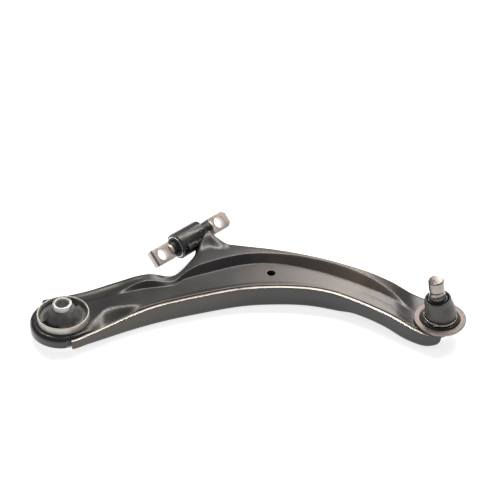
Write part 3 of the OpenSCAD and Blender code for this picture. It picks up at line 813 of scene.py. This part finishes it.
def trim(piece, doomed, snap):
    """Deletes the faces whose middle is doomed, then moves the new rim onto the cut's true line."""
    select_only(piece)
    old_rim = set(rim_points(piece, by_place=True))
    for face in piece.data.polygons:
        face.select = doomed(face.center / MM)
    bpy.context.tool_settings.mesh_select_mode = (False, False, True)
    bpy.ops.object.mode_set(mode="EDIT")
    bpy.ops.mesh.delete(type="FACE")
    bpy.ops.object.mode_set(mode="OBJECT")
    bpy.context.tool_settings.mesh_select_mode = (True, False, False)
    for index in rim_points(piece):
        vertex = piece.data.vertices[index]
        if tuple(vertex.co) not in old_rim:
            vertex.co = snap(vertex.co / MM) * MM


def rim_points(piece, by_place=False):
    """Points on edges that belong to one face only."""
    uses = {}
    for face in piece.data.polygons:
        for key in face.edge_keys:
            uses[key] = uses.get(key, 0) + 1
    points = {index for key, count in uses.items() if count == 1 for index in key}
    return [tuple(piece.data.vertices[index].co) for index in points] if by_place else points


def round_hole(piece, x, y, radius, z_low=-50):
    """A round hole down Z through the sheet, above z_low."""
    centre = Vector((x, y))
    def snap(co):
        flat = centre + (co.xy - centre).normalized() * radius
        return Vector((flat.x, flat.y, co.z))
    trim(piece, lambda co: (co.xy - centre).length < radius and co.z > z_low, snap)


def cut_neck(piece):
    """Ends the neck on the tube, and takes away all past the tube's axis."""
    side = Vector((-bar_axis.y, bar_axis.x, 0))

    def parts(co):
        """Along the bar, across it, and height above its axis."""
        from_axis = co - tube_mid
        return from_axis @ bar_axis, from_axis @ side, from_axis.z

    def doomed(co):
        along, across_bar, up = parts(co)
        past_axis = abs(along) < 63 and across_bar > 3.3
        return past_axis or (abs(along) < 53 and math.hypot(across_bar, up) < TUBE_R)

    def snap(co):
        along, across_bar, up = parts(co)
        out = math.hypot(across_bar, up)
        if across_bar > 3.3 or out > TUBE_R + 4 or abs(along) > 53:
            return co
        scale = TUBE_R / out
        return tube_mid + along * bar_axis + across_bar * scale * side + Vector((0, 0, up * scale))

    trim(piece, doomed, snap)


TUBE_R = 16.5
BORE_R = 31
HOUSING_R = 23.5
drain_at = (fore(0.34), curve(foot_line, fore(0.34)) - 19)
upper_shell = pan("upper_shell_pressed", stations, upper_rows, upper_height, upper_bottoms)
outward(upper_shell, up=True)
upper_shell.data.materials.append(coat_upper)
upper_shell.data.materials.append(coat_upper)
round_hole(upper_shell, 0, 0, BORE_R)
round_hole(upper_shell, joint.x, joint.y, HOUSING_R)
round_hole(upper_shell, *drain_at, 5.25)
cut_neck(upper_shell)
give_sheet(upper_shell)
smooth(upper_shell, 32)
print("Upper shell:", len(upper_shell.data.polygons), "faces")

# %% [markdown]
# The lower shell is the same kind of pan turned the other way up. Its near wall stands
# outside the upper shell and rises above the web, which leaves the sheared edge that runs
# along the arm: bare steel, coloured light enough to carry a painted highlight. Under the rear
# eye it becomes a shallow cup. It ends beside the ball joint, where its floor turns up in a
# large round corner.

# %% Outline and height of the lower shell
WALL_START = 12.9
WALL_END = joint.x - 1
CUP_R = EYE_R - SHEET - NEST_GAP
END_TURN = 11


def lower_near(x):
    if x < WALL_START:
        return -circle_y(x, CUP_R)
    return curve(near_edge, x)


def lower_far(x):
    flange = curve(far_edge, x) - (SHEET + NEST_GAP) * lean(far_edge, x)
    return mix(circle_y(x, CUP_R), flange, ease(-14, WALL_START, x))


def lower_height(x, y):
    near = (y - lower_near(x)) / lean(near_edge, x)
    far = (lower_far(x) - y) / lean(far_edge, x)
    if x < WALL_START:
        near = CUP_R - math.hypot(x, y)
        far = mix(near, far, ease(-14, WALL_START, x))
    z = mix(curve(floor_line, x), 4, 1 - ease(-20, 16, x)) if x < 16 else curve(floor_line, x)
    return z + max(rim_drop(near, 5), rim_drop(far, 5), rim_drop(WALL_END - x, END_TURN))


def lower_tops(x):
    """Upper edge of the near wall and of the far flange."""
    if x < WALL_START:
        near = 13
    else:
        near = curve(wall_top_line, x)
    rim = curve(web_line, x) + curve(step_line, x) + curve(rise_line, x)
    far_flange = curve(web_line, x) - (11 if x < aft(0.1) else 9 if x > fore(0.96) else 15)
    far = min(max(far_flange + 7, curve(floor_line, x) + 9), rim - 6.7)
    return near, mix(13, far, ease(-14, WALL_START, x))


def lower_rows(x):
    near, far = lower_near(x), lower_far(x)
    width = far - near
    near_rim = min(5 * lean(near_edge, x), 0.3 * width)
    far_rim = min(5 * lean(far_edge, x), 0.3 * width)
    a, b = near + near_rim, far - far_rim
    return (
        [near + near_rim * s for s in RIM_STEPS[:-1]]
        + [a + (b - a) * k / 24 for k in range(25)]
        + [far - far_rim * s for s in reversed(RIM_STEPS[:-1])]
    )


# %% Lower shell
lower_stations = ends_fine(-CUP_R, 0, 30)
lower_stations += [WALL_END * k / 240 for k in range(1, 241)]
lower_stations += [WALL_START - 0.02, WALL_START + 0.02]
lower_stations += [WALL_END - END_TURN * (1 - math.cos(math.pi / 2 * k / 14)) for k in range(14)]
lower_stations = sorted(set(round(x, 3) for x in lower_stations))
lower_shell = pan("lower_shell_pressed", lower_stations, lower_rows, lower_height, lower_tops)
outward(lower_shell, up=False)
lower_shell.data.materials.append(coat_lower)
lower_shell.data.materials.append(raw_edge_painted_highlight)
round_hole(lower_shell, 0, 0, BORE_R)
round_hole(lower_shell, joint.x, joint.y, HOUSING_R)
cut_neck(lower_shell)
give_sheet(lower_shell)
smooth(lower_shell, 32)
print("Lower shell:", len(lower_shell.data.polygons), "faces")

# %% [markdown]
# ## Welds
# The shells are joined by long seams, and the neck to its tube by one thick bead. A weld
# bead is a rod whose skin carries the ripples of the arc, so it is swept along its path
# with a radius that rises and falls. Round the thick one lie drops of spatter.

# %% Weld beads
def ripples(pitch_mm, length_mm, depth, swell=None):
    """The radius factor of a bead: ripples leaning along it, and a slow unevenness."""
    def factor(t, angle):
        along = t * length_mm
        wave = abs(math.sin(math.pi * (along + 0.9 * math.cos(angle)) / pitch_mm))
        slow = 0.08 * math.sin(along * 0.61 + 1.3) + 0.06 * math.sin(along * 1.37 + 4)
        return (1 - depth + depth * wave + slow) * (swell(t) if swell else 1)
    return factor


def seam(name, start, end, radius, place):
    count = int((end - start) / 0.9)
    shape = ripples(2.1, end - start, 0.22)
    return sweep(name, (count, lambda t: place(mix(start, end, t))), lambda t, angle: radius * shape(t, angle), 10)


near_seam = seam(
    "near_seam_bead", aft(0.5), fore(0.93), 1.05,
    lambda x: (x, curve(near_edge, x) + (SHEET + SEAM_GAP / 2) * lean(near_edge, x),
               curve(web_line, x) - curve(pocket_depths, x) - 6.4),
)
far_seam = seam(
    "far_seam_bead", tube.x + 62, fore(0.945), 1.6,
    lambda x: (x, curve(far_edge, x) - 1.6 * lean(far_edge, x), upper_bottoms(x)[1] - 0.9),
)
across_bar = Vector((-bar_axis.y, bar_axis.x, 0))
WELD_TILT = math.radians(16)
weld_line = tube_mid + 16.9 * (-math.cos(WELD_TILT) * across_bar + math.sin(WELD_TILT) * Vector((0, 0, 1)))


def weld_place(t):
    return weld_line + mix(-14, 17, t) * bar_axis + Vector((0, 0, 0.5 * math.sin(9 * t)))


bead_shape = ripples(2.6, 31, 0.25, lambda t: 1.25 - 0.35 * ease(0.1, 0.8, t) - 0.35 * ease(0.93, 1, t))
tube_bead = sweep("tube_weld_bead", (110, weld_place), lambda t, angle: 3.0 * bead_shape(t, angle), 28)
for bead in (near_seam, far_seam, tube_bead):
    smooth(bead, 50)
print("Beads:", [len(bead.data.polygons) for bead in (near_seam, far_seam, tube_bead)])

# %% Weld spatter
random.seed(4)
drops = []
for k in range(26):
    t = random.random()
    turn = WELD_TILT + random.uniform(-0.25, 0.75)
    size = random.uniform(0.25, 0.75)
    spot = tube_mid + mix(-19, 14, t) * bar_axis
    spot += (TUBE_R + 0.15) * (-math.cos(turn) * across_bar + math.sin(turn) * Vector((0, 0, 1)))
    bead = [(0, -size), (size * 0.8, -size * 0.6), (size, 0), (size * 0.7, size * 0.7), (0, size)]
    drops.append(turned(f"drop_{k}", bead, Matrix.Translation(spot), steps=10))
deselect()
for drop in drops:
    drop.select_set(True)
bpy.context.view_layer.objects.active = drops[0]
bpy.ops.object.join()
spatter = bpy.context.object
spatter.name = "weld_spatter"
smooth(spatter, 60)
print("Spatter:", len(spatter.data.polygons), "faces")

# %% [markdown]
# ## The rear bush
# The rear bush stands upright in the eye: a thin steel sleeve pressed into both shells, a
# cone of rubber and a thick inner sleeve for the bolt. Two kidney-shaped voids make it soft
# along the car and stiff across it. All of it is turned, and the voids are cut out.

# %% Rear sleeves
rear_sleeve = turned("rear_sleeve", [(29.25, 2.2), (31, 2, 0.5), (31, 31.5, 0.7), (29.3, 31.5, 0.6)], steps=128)
inner_sleeve = turned(
    "rear_bolt_sleeve",
    [(7.25, 0.6), (7.9, 0, 0.2), (11.5, 0, 0.6), (11.5, 46, 1.1), (8.5, 46, 0.3), (7.25, 44.4, 0.5)], steps=96,
)
for piece in (rear_sleeve, inner_sleeve):
    smooth(piece, 30)
print("Sleeves:", len(rear_sleeve.data.polygons), len(inner_sleeve.data.polygons))

# %% Rear rubber with its two voids
rear_rubber = turned(
    "rear_rubber_cone",
    [(14.4, 4.2), (28.4, 4, 1), (29.2, 6, 0.6), (29.2, 29.4, 0.3), (28.3, 29.2, 0.5), (27.9, 25.2, 1.5),
     (23.2, 24.2, 3), (17.2, 32.6, 5), (13.6, 39.2, 2), (11.55, 40.2, 0.3), (11.55, 31.5)],
    steps=128, arc=6,
)
for azimuth in (150, -64):
    start = Matrix.Rotation(math.radians(azimuth - 32), 4, "Z")
    void = turned("void", [(20.9, -5), (27.2, -5), (27.2, 60), (20.9, 60)], start, steps=24, angle=math.radians(64))
    tidy_mesh(void, fill=True)
    modify(void, "BEVEL", width=2.4 * MM, segments=4, limit_method="ANGLE", angle_limit=math.radians(60))
    cut(rear_rubber, void)
tidy_mesh(rear_rubber, 0.02)
smooth(rear_rubber, 38)
print("Rear rubber:", len(rear_rubber.data.polygons), "faces")

# %% [markdown]
# ## The bar-pin bush
# The neck carries a tube. In it sit a thin sleeve, rubber, and a forged bar whose two ends
# are flattened and drilled for the bolts. The flats are turned about the bar's own axis,
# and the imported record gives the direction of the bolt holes.

# %% Tube, sleeve and rubber
def along_tube(points, name, steps=96, arc=4):
    return turned(name, points, at_bar, steps, arc)


bush_tube = along_tube([(14.05, -23), (TUBE_R, -23, 0.8), (TUBE_R, 17, 0.8), (14.05, 17, 0.3)], "pivot_tube")
front_sleeve = along_tube([(12.5, -24.4), (14, -24.5, 0.5), (14, 18.5, 0.5), (12.5, 18.4, 0.4)], "front_sleeve")
front_rubber = along_tube(
    [(8.56, -32.1), (9.6, -32.1, 0.6), (10.3, -29.0, 1.2), (8.9, -27.2, 0.8), (10.6, -24.6, 0.6), (11.6, -26, 0.5),
     (12.45, -25.4, 0.5), (12.45, 19.4, 0.5), (11.6, 20, 0.5), (10.6, 18.6, 0.6), (8.9, 21.2, 0.8),
     (10.3, 27, 1.2), (9.8, 32.1, 0.6), (8.56, 32.1)],
    "front_rubber_body",
)
for piece in (bush_tube, front_sleeve, front_rubber):
    smooth(piece, 35)
print("Tube, sleeve and rubber:", [len(piece.data.polygons) for piece in (bush_tube, front_sleeve, front_rubber)])

# %% Forged bar
mounts = {mount["name"]: mount for mount in frame["record"]["mounts"]}
flat_normal = Vector(mounts["bar_hole_near"]["axis"]).normalized()
flat_side = flat_normal.cross(bar_axis).normalized()
at_flats = Matrix.Translation(bar_centre) @ Matrix((bar_axis, flat_side, flat_normal)).transposed().to_4x4()
HOLE_AT = 47
END_AT = 61.5
FLAT_FROM = 32.5
HALF_W = 11
HALF_T = 5.25


def plate(name, outline, z0, z1, place, edge=0.0):
    """A flat plate of any outline: a circle primitive's face moved to it, then extruded."""
    points = rounded(outline, 5)
    deselect()
    bpy.ops.mesh.primitive_circle_add(vertices=len(points), radius=MM, fill_type="NGON")
    piece = bpy.context.object
    piece.name = name
    for vertex, point in zip(piece.data.vertices, points):
        vertex.co = Vector((point.x, point.y, z0)) * MM
    bpy.ops.object.mode_set(mode="EDIT")
    bpy.ops.mesh.select_all(action="SELECT")
    bpy.ops.mesh.extrude_region_move(TRANSFORM_OT_translate={"value": (0, 0, (z1 - z0) * MM)})
    bpy.ops.object.mode_set(mode="OBJECT")
    tidy_mesh(piece)
    if edge:
        modify(piece, "BEVEL", width=edge * MM, segments=3, limit_method="ANGLE", angle_limit=math.radians(50))
    move_mesh(piece, place)
    return piece


def flat_end(way, corner):
    """One flattened end; way is 1 for the far end and -1 for the near one."""
    soft = min(1.5, 0.55 * corner)
    outline = [
        (way * FLAT_FROM, -HALF_W, 1.2), (way * (END_AT - corner), -HALF_W, soft), (way * END_AT, corner - HALF_W, soft),
        (way * END_AT, HALF_W - corner, soft), (way * (END_AT - corner), HALF_W, soft), (way * FLAT_FROM, HALF_W, 1.2),
    ]
    end = plate("end", outline[::way], -HALF_T, HALF_T, Matrix(), 0.7)
    hole = rod(7.25, -9, 9, Matrix.Translation((way * HOLE_AT, 0, 0)))
    for z in (-HALF_T, HALF_T):
        flare = turned("flare", [(0, z - 0.6), (7.25 + (z < 0) * 0.6, z - 0.6), (7.25 + (z > 0) * 0.6, z + 0.6), (0, z + 0.6)],
                       Matrix.Translation((way * HOLE_AT, 0, 0)))
        cut(end, flare)
    cut(end, hole)
    return end


near_end = flat_end(-1, 2)
step = plate(
    "step", [(-END_AT - 3, -15), (-END_AT + 2.8, -15), (-END_AT + 2.8, 15), (-END_AT - 3, 15)],
    HALF_T - 2.6, HALF_T + 5, Matrix(),
)
cut(near_end, step)
print("Near flat end:", len(near_end.data.polygons), "faces")
far_end = flat_end(1, 4.5)
bar_pin = turned("forged_bar", [(0, -36), (8.2, -36, 1), (8.5, -33), (8.5, 33), (8.2, 36, 1), (0, 36)],
                 Matrix.Rotation(math.pi / 2, 4, "Y"), steps=64)
for end in (near_end, far_end):
    modify(bar_pin, "BOOLEAN", operation="UNION", solver="EXACT", object=end)
    bpy.data.objects.remove(end)
move_mesh(bar_pin, at_flats)
tidy_mesh(bar_pin, 0.01)
smooth(bar_pin, 30)
print("Forged bar:", len(bar_pin.data.polygons), "faces")

# %% [markdown]
# ## The ball joint
# A ring plate welded to the shells holds the forged housing. The stud stands out of it at a
# slight lean, and a rubber boot keeps the grease in. Two turns of spring wire clamp the
# boot's skirt, and its top grips the stud.

# %% Ring plate, housing and cap
ring_plate = turned(
    "ring_plate", [(23.5, 23.6), (30.6, 23.5, 0.6), (31, 26.9, 1.0), (24.9, 27.0, 0.4), (23.6, 26.4, 0.4)], at_joint, 128
)
housing = turned(
    "forged_housing",
    [(9.55, 5.2), (11.6, 5, 0.6), (17.1, 14.8, 3), (17.1, 18.4, 0.6), (23.45, 18.7, 0.3), (23.45, 26.2, 0.5),
     (22.6, 27.6, 0.6), (21.4, 28.5, 0.6), (20.2, 27.4, 0.5), (18.8, 28.1, 0.4), (16.6, 28, 0.5), (16.6, 32, 0.3),
     (17.3, 32.5, 0.3), (17.3, 33.4, 0.4), (16.2, 33.4), (14.85, 31.5), (14.85, 15), (9.55, 9)],
    at_joint, 112,
)
cap = turned("housing_cap_disc", [(0, 5.9), (5, 5.9, 1), (6.4, 5.1, 0.6), (9.5, 5, 0.3), (9.5, 7.5), (0, 7.5)], at_joint)
for piece in (ring_plate, housing, cap):
    smooth(piece, 32)
print("Ring plate, housing, cap:", [len(piece.data.polygons) for piece in (ring_plate, housing, cap)])

# %% Stud
BALL_R = 13
NECK_R = 7.5
ball_arc = []
for k in range(13):
    turn = math.radians(-90 + k * (90 + 54.8) / 12)
    ball_arc.append((BALL_R * math.cos(turn), BALL_R * math.sin(turn)))
groove_arc = []
for k in range(11):
    turn = math.radians(mix(226.2, 144.5, k / 10))
    groove_arc.append((14.5 + 6.5 * math.cos(turn), 42 + 6.5 * math.sin(turn)))
stud = turned(
    "ball_stud_turned",
    [(0.0, -BALL_R)] + ball_arc[1:]
    + [(NECK_R, 14, 1.5), (10, 22, 2.5), (10, 36.6, 0.5)] + groove_arc
    + [(9.25, 46.4, 0.3), (9.25, 58.6, 0.5), (8.2, 59.9, 0.6), (0, 60)],
    at_stud, 96,
)
smooth(stud, 30)
print("Stud:", len(stud.data.polygons), "faces")

# %% [markdown]
# The boot is a sleeve whose axis bends from upright at the skirt to the stud's lean at its
# top. When the joint swings, its lower part follows the arm and its upper part the stud. It
# is made as two sleeves that meet halfway, and both are bent about the ball at rest.

# %% Boot
LEAN = stud_axis.angle(Vector((0, 0, 1)))
SPLIT = 15


def bend_boot(piece):
    """Turns each point about the ball by its share of the stud's lean."""
    for vertex in piece.data.vertices:
        share = ease(8, 29, vertex.co.z / MM)
        vertex.co = Matrix.Rotation(-LEAN * share, 3, "Y") @ vertex.co
    move_mesh(piece, Matrix.Translation(ball))


boot_skirt = turned(
    "boot_skirt",
    [(16.68, 3.5), (18.3, 3.4, 0.4), (18.35, 8.7, 0.3), (19.0, 9.2, 0.4), (19.45, 10.4, 0.8), (18.9, 12.0, 0.8),
     (18.3, SPLIT), (16.2, SPLIT), (17.2, 9.4), (16.68, 8.4)],
    steps=112,
)
boot_cone = turned(
    "boot_cone",
    [(18.3, SPLIT), (17.45, 20.5, 3), (16.5, 26.0, 3), (15.75, 30.6, 1), (15.5, 32.5, 0.9), (13.7, 32.6, 0.8),
     (12.6, 30.2, 1.2), (11.6, 26.4, 0.5), (12.6, 25.6, 0.5), (14.0, 28.4, 1), (14.6, 26, 1), (16.2, SPLIT)],
    steps=112,
)
for piece in (boot_skirt, boot_cone):
    bend_boot(piece)
    smooth(piece, 40)
print("Boot leans", round(math.degrees(LEAN), 1), "degrees at its top")

# %% Spring wire
WIRE_R = 0.75
TURNS = 2.06


def wire_place(t):
    turn = math.radians(-118) + t * TURNS * math.tau
    kick = 2.0 * (1 - ease(0, 0.018, t)) + 1.6 * ease(0.985, 1, t)
    radius = 19.2 + kick
    return ball + Vector((radius * math.cos(turn), radius * math.sin(turn), 4.75 + 1.62 * t * TURNS / 2))


spring_wire = sweep("spring_wire", (230, wire_place), lambda t, angle: WIRE_R, 12)
smooth(spring_wire, 60)
print("Spring wire:", len(spring_wire.data.polygons), "faces")

# %% [markdown]
# ## Who moves with what
# The rigid pieces get their finish, the body they move with, and the CAD node they stand
# for. The boot's two sleeves and the rear rubber get their finish but no body, and their
# placing is baked into their points. The few CAD nodes that stay, deep inside the ball joint,
# only get a better finish.

# %% Finishes, bodies and replaced nodes
def paint(piece, *materials):
    piece.data.materials.clear()
    for material in materials:
        piece.data.materials.append(material)


def stands_for(piece, material, body, node):
    if material:
        paint(piece, material)
    if body:
        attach(piece, body)
    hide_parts(node)


stands_for(upper_shell, None, "arm", "upper_shell")
stands_for(lower_shell, None, "arm", "lower_shell")
stands_for(near_seam, weld_skin, "arm", "near_seam_weld")
stands_for(far_seam, weld_skin, "arm", "far_seam_weld")
stands_for(tube_bead, weld_skin, "arm", "bush_tube_weld")
stands_for(bush_tube, coat_tube, "arm", "bush_tube")
stands_for(front_sleeve, front_steel, "arm", "front_outer_sleeve")
stands_for(front_rubber, front_rubber_skin, "arm", "front_rubber")
stands_for(bar_pin, bar_steel, "bar", "bar_pin")
stands_for(rear_sleeve, sleeve_steel, "arm", "rear_outer_sleeve")
stands_for(inner_sleeve, zinc, "rear_core", "rear_inner_sleeve")
stands_for(ring_plate, ring_steel, "arm", "joint_ring_plate")
stands_for(housing, coat_housing, "arm", "ball_housing")
stands_for(cap, sleeve_steel, "arm", "housing_cap")
stands_for(stud, stud_steel, "stud", "ball_stud")
stands_for(spring_wire, wire_steel, "arm", "boot_clamp_ring")
paint(spatter, weld_skin)
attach(spatter, "arm")
print("Rigid pieces handed over")

# %% Pieces without a body
stands_for(rear_rubber, rear_rubber_skin, None, "rear_rubber")
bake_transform(rear_rubber)
stands_for(boot_cone, boot_rubber, None, "dust_boot")
paint(boot_skirt, boot_rubber)
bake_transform(boot_skirt)
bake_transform(boot_cone)

# %% CAD nodes that stay
for name, material in {
    "preload_washer": zinc, "seat_lower_half": seat_plastic,
    "seat_upper_half": seat_plastic, "boot_neck_ring": coat_housing,
}.items():
    paint(frame["nodes"][name], material)

# %% [markdown]
# ## Stage and light
# The arm stands on a plain pale floor that glows a little, so that it stays white. One
# narrow strip high behind the arm draws the long highlights along the step and the rims,
# and a small panel farther back lights the web. The pale world light does the rest.

# %% Floor
deselect()
bpy.ops.mesh.primitive_plane_add(size=30)
floor = bpy.context.object
floor.name = "floor"
floor_z = cad_box[0].z - 0.0002
floor.data.transform(Matrix.Translation((0, 0, floor_z)))
paper = bpy.data.materials.new("pale_floor")
paper.use_nodes = True
paper_shader = paper.node_tree.nodes["Principled BSDF"]
paper_shader.inputs["Base Color"].default_value = (0.9, 0.9, 0.9, 1)
paper_shader.inputs["Emission Color"].default_value = (1, 1, 1, 1)
paper_shader.inputs["Emission Strength"].default_value = 0.72
paper_shader.inputs["Roughness"].default_value = 0.9
paper_shader.inputs["Specular IOR Level"].default_value = 0.1
floor.data.materials.append(paper)
print("Floor at", round(floor_z / MM, 2), "mm")

# %% Light
world = bpy.data.worlds.new("studio")
bpy.context.scene.world = world
world.use_nodes = True
world.node_tree.nodes["Background"].inputs["Color"].default_value = (0.92, 0.96, 1.0, 1)
world.node_tree.nodes["Background"].inputs["Strength"].default_value = 0.26


def soft_box(name, place, target, size, power, tone):
    data = bpy.data.lights.new(name, "AREA")
    data.shape = "RECTANGLE"
    data.size, data.size_y = size
    data.energy = power
    data.color = tone
    lamp = bpy.data.objects.new(name, data)
    lamp.location = place
    lamp.rotation_euler = (Vector(target) - Vector(place)).to_track_quat("-Z", "Y").to_euler()
    bpy.context.scene.collection.objects.link(lamp)


soft_box("high_strip", (0.35, 0.75, 1.5), (0.24, 0.06, 0), (2.0, 0.10), 24, (1.0, 0.92, 0.84))
soft_box("back_panel", (0.58, 1.6, 1.2), (0.28, 0.06, 0), (0.5, 0.8), 8, (1.0, 0.95, 0.91))
bpy.context.scene.view_settings.view_transform = "Standard"
print("Lights:", [lamp.name for lamp in bpy.data.lights])
